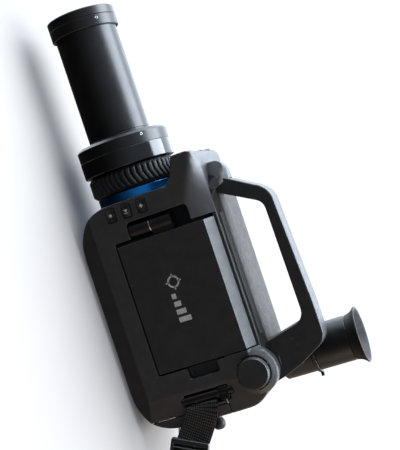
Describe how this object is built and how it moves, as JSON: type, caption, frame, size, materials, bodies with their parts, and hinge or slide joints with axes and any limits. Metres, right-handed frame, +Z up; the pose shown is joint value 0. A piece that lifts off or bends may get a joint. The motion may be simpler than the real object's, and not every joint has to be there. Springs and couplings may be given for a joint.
{
  "type": "thermal imaging camera",
  "caption": "Handheld thermal imaging camera with a long telephoto lens, a carrying handle, a side display, a tilting viewfinder and a carrying strap.",
  "frame": {"origin": "mouth of the tripod socket, in the plane of the flat base under the lens axis", "axes": "+Z up, -Y the way the lens looks, +X the camera's left side, which carries the display"},
  "size_m": [0.1405, 0.395, 0.1814],
  "materials": {
    "housing": "fine moulded texture, charcoal",
    "base_metal": "black powder coat",
    "insert": "turned steel",
    "lens_black": "gloss black anodised",
    "focus_rubber": "ribbed grip ring",
    "blue_anodised": "bright blue anodised",
    "germanium": "coated germanium",
    "steel_small": "bright steel",
    "dewar_metal": "machined aluminium",
    "circuit": "circuit board",
    "battery": "shrink-wrapped battery",
    "contacts": "gold plated",
    "dark_glass": "coated glass",
    "lamp_glass": "frosted lens",
    "handle_plastic": "textured charcoal with worn edges",
    "vf_plastic": "fine satin",
    "eyecup_rubber": "soft rubber",
    "display_plastic": "satin moulded",
    "display_glass": "screen",
    "button_rubber": "soft key with light pictogram",
    "bar_metal": "black coated steel",
    "webbing": "woven black nylon",
    "slider_plastic": "moulded buckle",
    "knob": "black knob"
  },
  "bodies": {
    "root": {"housing_main": "housing", "left_cover": "housing", "front_bezel": "housing", "base_plate": "base_metal", "tripod_socket": "insert", "top_spine": "housing", "pivot_boss": "housing", "blue_ring": "blue_anodised", "lens_barrel": "lens_black", "lens_adapter_rear": "lens_black", "lens_adapter_front": "lens_black", "lens_tube": "lens_black", "lens_front_ring": "lens_black", "front_element": "germanium", "rear_element": "germanium", "lens_set_screws": "steel_small", "detector_dewar": "dewar_metal", "cryocooler": "dewar_metal", "main_board": "circuit", "power_board": "circuit", "battery_pack": "battery", "battery_contacts": "contacts", "visual_camera": "dark_glass", "target_lamp": "lamp_glass", "handle_front_boss": "housing", "handle": "handle_plastic", "handle_screws": "steel_small", "hinge_base": "display_plastic", "hinge_pin": "steel_small", "hinge_washer": "steel_small", "button_board": "circuit", "strap_bar": "bar_metal", "strap_bar_screw": "steel_small", "strap_lug": "bar_metal", "strap_rear_run": "webbing", "strap_bundle": "webbing", "strap_front_run": "webbing", "strap_slider": "slider_plastic", "strap_tie": "slider_plastic", "door_hinge_pin": "steel_small", "housing_screws": "steel_small"},
    "focus": {"focus_ring": "focus_rubber"},
    "viewfinder": {"vf_shaft": "steel_small", "vf_pivot_cap": "vf_plastic", "vf_hub": "vf_plastic", "vf_barrel_lower": "vf_plastic", "vf_barrel_upper": "vf_plastic", "vf_eye_lens": "dark_glass", "vf_microdisplay": "circuit", "eyecup": "eyecup_rubber"},
    "diopter": {"diopter_ring": "vf_plastic"},
    "display": {"display_knuckle": "display_plastic", "display_cover": "display_plastic", "display_bezel": "display_plastic", "display_glass": "display_glass"},
    "button_upper": {"button_upper": "button_rubber"},
    "button_middle": {"button_middle": "button_rubber"},
    "button_lower": {"button_lower": "button_rubber"},
    "door": {"battery_door": "housing"},
    "latch": {"latch_knob": "knob"}
  },
  "joints": [
    {"name": "focus_turn", "type": "hinge", "parent": "root", "child": "focus", "pos_m": [0, -0.103, 0.048], "axis": [0, 1, 0], "range_deg": [-90, 90]},
    {"name": "viewfinder_tilt", "type": "hinge", "parent": "root", "child": "viewfinder", "pos_m": [0, 0.0684, 0.1037], "axis": [-1, 0, 0], "range_deg": [0, 90]},
    {"name": "diopter_turn", "type": "hinge", "parent": "viewfinder", "child": "diopter", "pos_m": [-0.019, 0.0724, 0.141], "axis": [0, 0, 1], "range_deg": [-35, 35]},
    {"name": "display_open", "type": "hinge", "parent": "root", "child": "display", "pos_m": [0.04, -0.0627, 0.071], "axis": [0, 0, -1], "range_deg": [0, 100]},
    {"name": "button_upper_press", "type": "slide", "parent": "root", "child": "button_upper", "axis": [-1, 0, 0], "range_m": [0, 0.0008], "stiffness_N_per_m": 400},
    {"name": "button_middle_press", "type": "slide", "parent": "root", "child": "button_middle", "axis": [-1, 0, 0], "range_m": [0, 0.0008], "stiffness_N_per_m": 400},
    {"name": "button_lower_press", "type": "slide", "parent": "root", "child": "button_lower", "axis": [-1, 0, 0], "range_m": [0, 0.0008], "stiffness_N_per_m": 400},
    {"name": "battery_door_open", "type": "hinge", "parent": "root", "child": "door", "pos_m": [-0.0428, 0.0885, 0.04], "axis": [0, 0, 1], "range_deg": [0, 95]},
    {"name": "latch_turn", "type": "hinge", "parent": "door", "child": "latch", "pos_m": [0.03, 0.094, 0.06], "axis": [0, 1, 0], "range_deg": [0, 90]}
  ]
}
